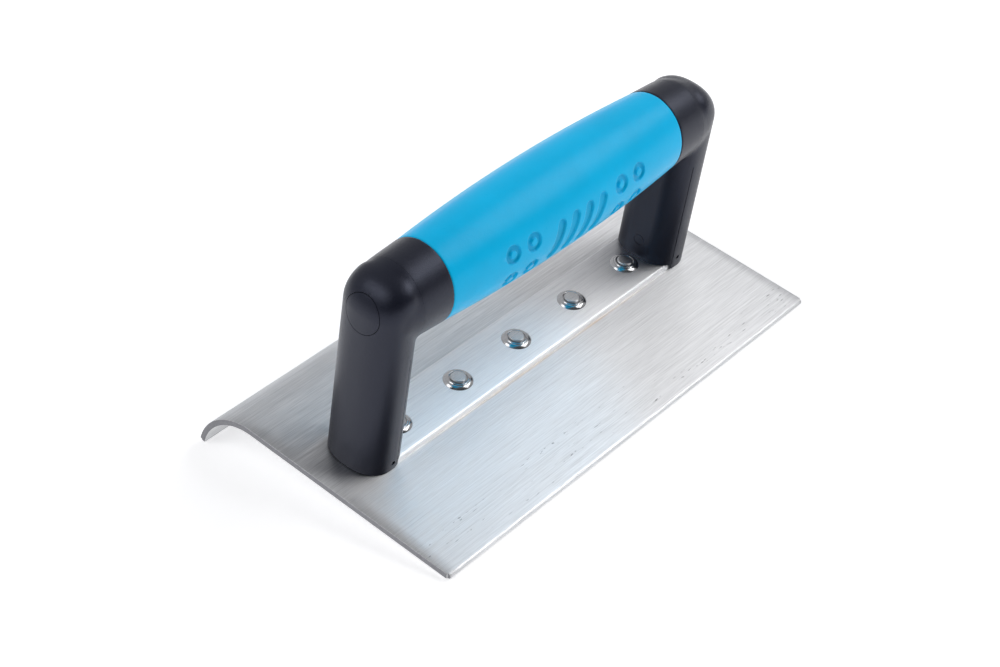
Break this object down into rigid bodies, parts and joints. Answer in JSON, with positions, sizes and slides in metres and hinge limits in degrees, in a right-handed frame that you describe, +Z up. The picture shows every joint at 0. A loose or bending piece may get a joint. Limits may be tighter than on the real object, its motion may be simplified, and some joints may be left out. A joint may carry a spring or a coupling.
{
  "type": "concrete edging trowel",
  "caption": "Hand edging trowel: a flat stainless blade with a long side rolled down for rounding slab edges, under a closed post-mounted handle with a soft barrel grip.",
  "frame": {"origin": "on the resting surface, midway along and across the tool's outline", "axes": "+X along the blade and grip, -Y towards the free edge, +Y towards the rolled lip, +Z up from the surface the tool lies on"},
  "size_m": [0.18, 0.1014, 0.083],
  "materials": {
    "blade_steel": "stainless sheet with a fine grain along the length",
    "plate_steel": "brushed bar with a bright rolled edge",
    "rivet_steel": "peened, satin on top",
    "ring_polish": "polished",
    "post_plastic": "fine satin texture",
    "core_plastic": "fine satin texture",
    "plug_plastic": "fine satin texture",
    "sleeve_rubber": "soft satin",
    "zinc_steel": "zinc plated",
    "insert_brass": "turned"
  },
  "bodies": {
    "root": {"blade": "blade_steel", "mounting_plate": "plate_steel", "plate_rivets": "rivet_steel", "rivet_rings": "ring_polish", "left_post": "post_plastic", "right_post": "post_plastic", "grip_core": "core_plastic", "grip_sleeve": "sleeve_rubber", "left_end_plug": "plug_plastic", "right_end_plug": "plug_plastic", "tie_rod": "zinc_steel", "tie_rod_washers": "zinc_steel", "tie_rod_nuts": "zinc_steel", "foot_screws": "zinc_steel", "foot_inserts": "insert_brass"}
  },
  "joints": []
}
